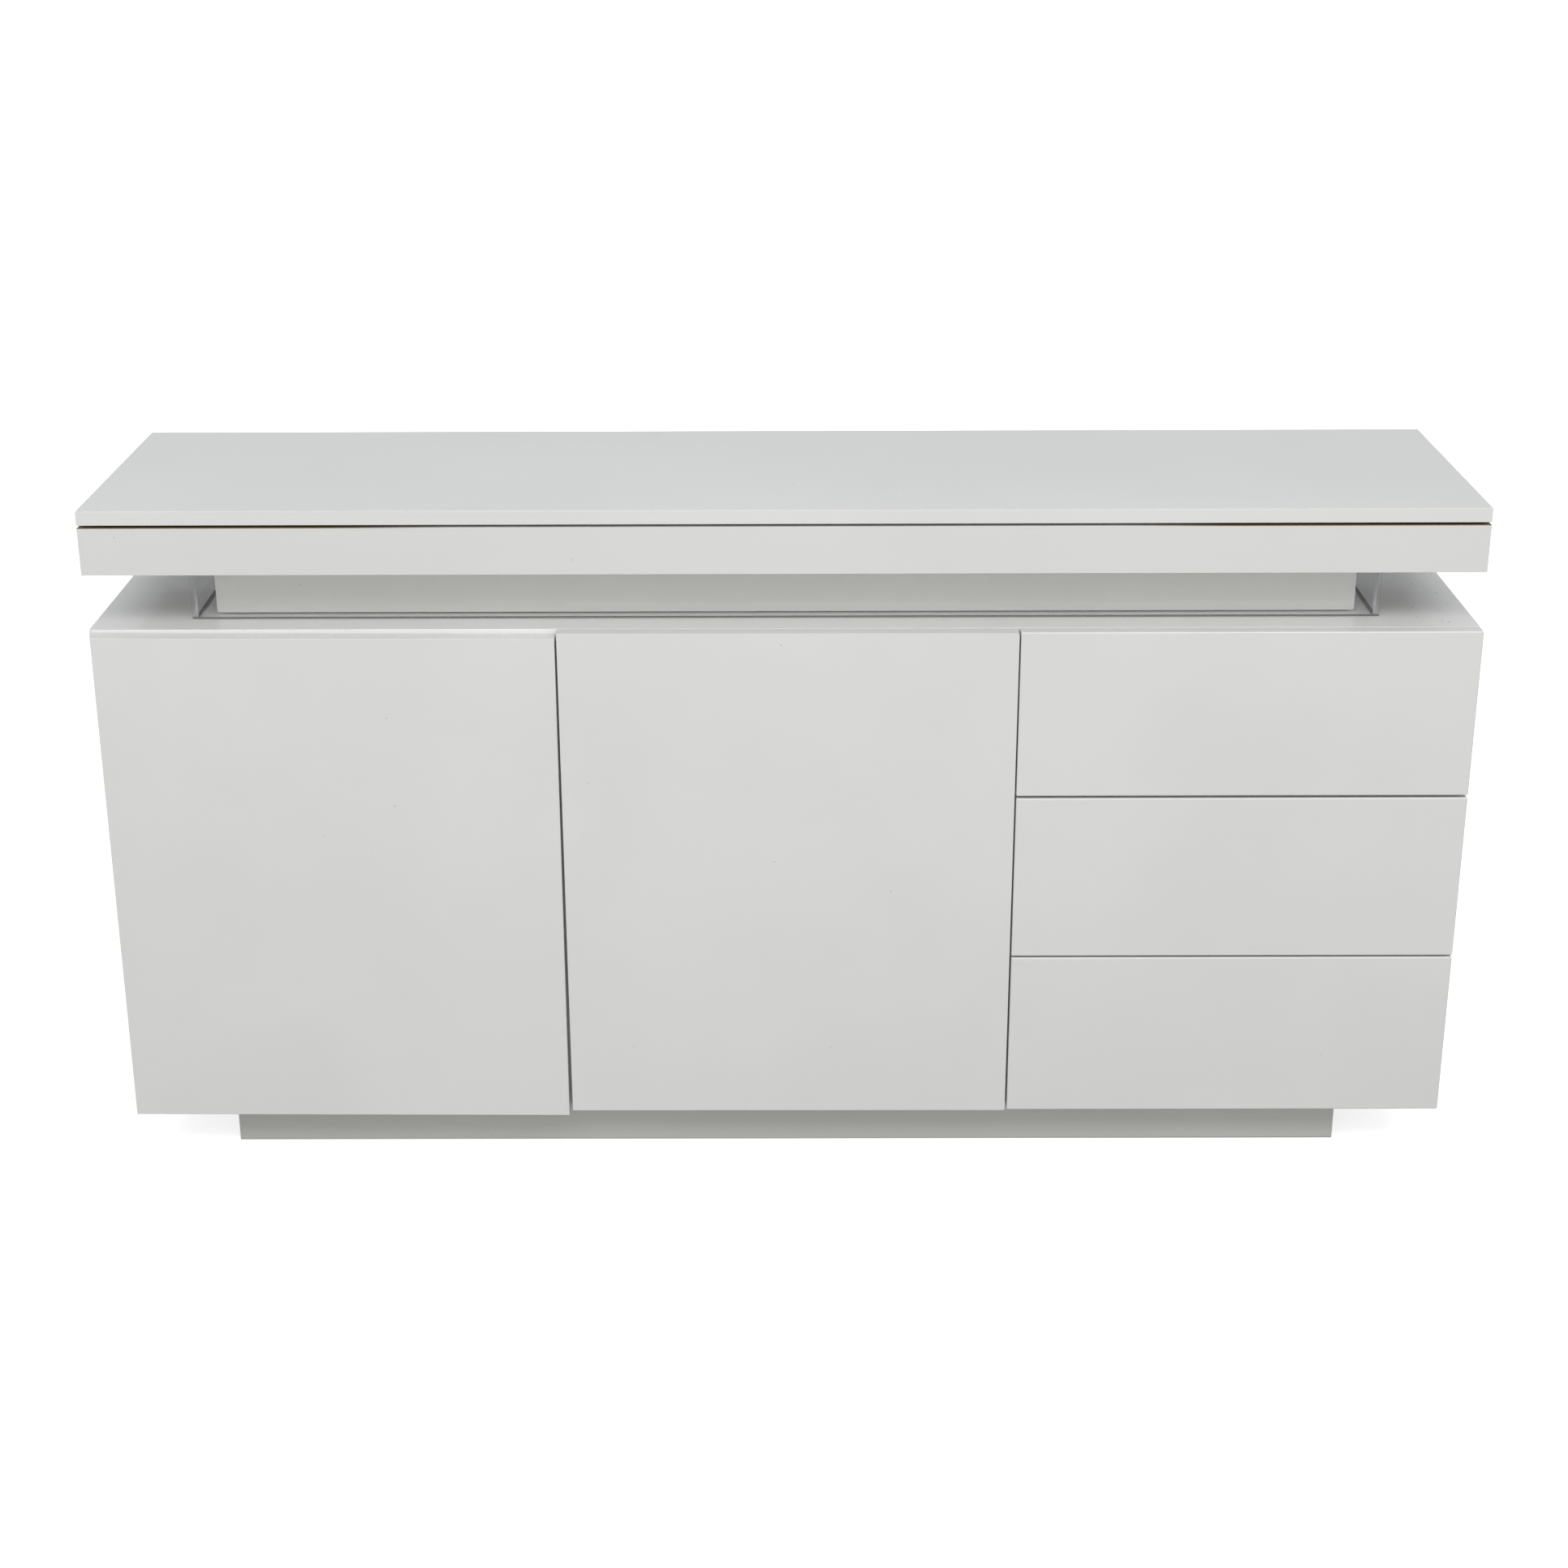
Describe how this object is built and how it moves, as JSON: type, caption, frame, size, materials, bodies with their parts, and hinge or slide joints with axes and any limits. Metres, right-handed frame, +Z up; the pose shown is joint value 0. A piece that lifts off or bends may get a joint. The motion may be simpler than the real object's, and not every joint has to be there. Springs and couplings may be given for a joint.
{
  "type": "sideboard buffet",
  "caption": "Long white handleless sideboard: hinged doors beside stacked drawers on a recessed plinth, with a floating top box over a clear-fronted recess.",
  "frame": {"origin": "middle of the footprint, on the floor", "axes": "+X to the right seen from the front, +Y to the back, +Z up; the fronts face -Y"},
  "size_m": [1.75, 0.428, 0.8988],
  "materials": {
    "white_lacquer": "satin white lacquer on board",
    "white_melamine": "matt white melamine-faced board",
    "hardboard": "thin white-faced hardboard",
    "clear_pane": "clear polished pane",
    "steel": "nickel-plated and zinc-plated steel",
    "nylon": "moulded light grey plastic"
  },
  "bodies": {
    "root": {"back_panel": "hardboard", "bottom_panel": "white_lacquer", "cabinet_top": "white_lacquer", "divider_doors": "white_melamine", "divider_drawers": "white_melamine", "fascia_front": "white_lacquer", "hinge_arm_lower_left": "steel", "hinge_arm_lower_middle": "steel", "hinge_arm_upper_left": "steel", "hinge_arm_upper_middle": "steel", "latch_body_left": "nylon", "latch_body_middle": "nylon", "left_side": "white_lacquer", "lower_drawer_runner_left": "steel", "lower_drawer_runner_right": "steel", "middle_drawer_runner_left": "steel", "middle_drawer_runner_right": "steel", "pane_front": "clear_pane", "pane_left": "clear_pane", "pane_right": "clear_pane", "plinth_back": "white_melamine", "plinth_front": "white_lacquer", "plinth_left": "white_lacquer", "plinth_right": "white_lacquer", "right_side": "white_lacquer", "shelf_left": "white_melamine", "shelf_middle": "white_melamine", "spacer_back": "white_melamine", "spacer_front": "white_lacquer", "spacer_left": "white_lacquer", "spacer_right": "white_lacquer", "top_box_floor": "white_melamine", "top_frame": "white_melamine", "top_panel": "white_lacquer", "top_rail_back": "white_melamine", "top_rail_left": "white_lacquer", "top_rail_right": "white_lacquer", "upper_drawer_runner_left": "steel", "upper_drawer_runner_right": "steel"},
    "left_door_leaf": {"hinge_cup_lower_left": "steel", "hinge_cup_upper_left": "steel", "left_door": "white_lacquer"},
    "middle_door_leaf": {"hinge_cup_lower_middle": "steel", "hinge_cup_upper_middle": "steel", "middle_door": "white_lacquer"},
    "left_hinge_links": {"hinge_link_lower_left": "steel", "hinge_link_upper_left": "steel"},
    "middle_hinge_links": {"hinge_link_lower_middle": "steel", "hinge_link_upper_middle": "steel"},
    "left_latch_plunger": {"latch_plunger_left": "nylon"},
    "middle_latch_plunger": {"latch_plunger_middle": "nylon"},
    "lower_drawer": {"lower_drawer_bottom": "hardboard", "lower_drawer_front": "white_lacquer", "lower_drawer_wrap": "white_melamine"},
    "middle_drawer": {"middle_drawer_bottom": "hardboard", "middle_drawer_front": "white_lacquer", "middle_drawer_wrap": "white_melamine"},
    "upper_drawer": {"upper_drawer_bottom": "hardboard", "upper_drawer_front": "white_lacquer", "upper_drawer_wrap": "white_melamine"}
  },
  "joints": [
    {"name": "left_door_hinge", "type": "hinge", "parent": "root", "child": "left_door_leaf", "pos_m": [-0.86597, -0.2095, 0.4], "axis": [0, 0, -1], "range_deg": [0, 100]},
    {"name": "left_hinge_link_turn", "type": "hinge", "parent": "root", "child": "left_hinge_links", "pos_m": [-0.83967, -0.19636, 0.4], "axis": [0, 0, -1], "range_deg": [-34.6, 0]},
    {"name": "left_latch_travel", "type": "slide", "parent": "root", "child": "left_latch_plunger", "axis": [0, -1, 0], "range_m": [0, 0.0121]},
    {"name": "middle_door_hinge", "type": "hinge", "parent": "root", "child": "middle_door_leaf", "pos_m": [-0.28031, -0.2095, 0.4], "axis": [0, 0, -1], "range_deg": [0, 100]},
    {"name": "middle_hinge_link_turn", "type": "hinge", "parent": "root", "child": "middle_hinge_links", "pos_m": [-0.25401, -0.19636, 0.4], "axis": [0, 0, -1], "range_deg": [-34.6, 0]},
    {"name": "middle_latch_travel", "type": "slide", "parent": "root", "child": "middle_latch_plunger", "axis": [0, -1, 0], "range_m": [0, 0.0121]},
    {"name": "lower_drawer_slide", "type": "slide", "parent": "root", "child": "lower_drawer", "axis": [0, -1, 0], "range_m": [0, 0.3]},
    {"name": "middle_drawer_slide", "type": "slide", "parent": "root", "child": "middle_drawer", "axis": [0, -1, 0], "range_m": [0, 0.3]},
    {"name": "upper_drawer_slide", "type": "slide", "parent": "root", "child": "upper_drawer", "axis": [0, -1, 0], "range_m": [0, 0.3]}
  ],
  "couplings": [
    {"joint": "left_hinge_link_turn", "follows": "left_door_hinge", "ratio": -0.34524},
    {"joint": "left_latch_travel", "follows": "left_door_hinge", "m_per_rad": 0.0068755},
    {"joint": "middle_hinge_link_turn", "follows": "middle_door_hinge", "ratio": -0.34524},
    {"joint": "middle_latch_travel", "follows": "middle_door_hinge", "m_per_rad": 0.0068755}
  ]
}
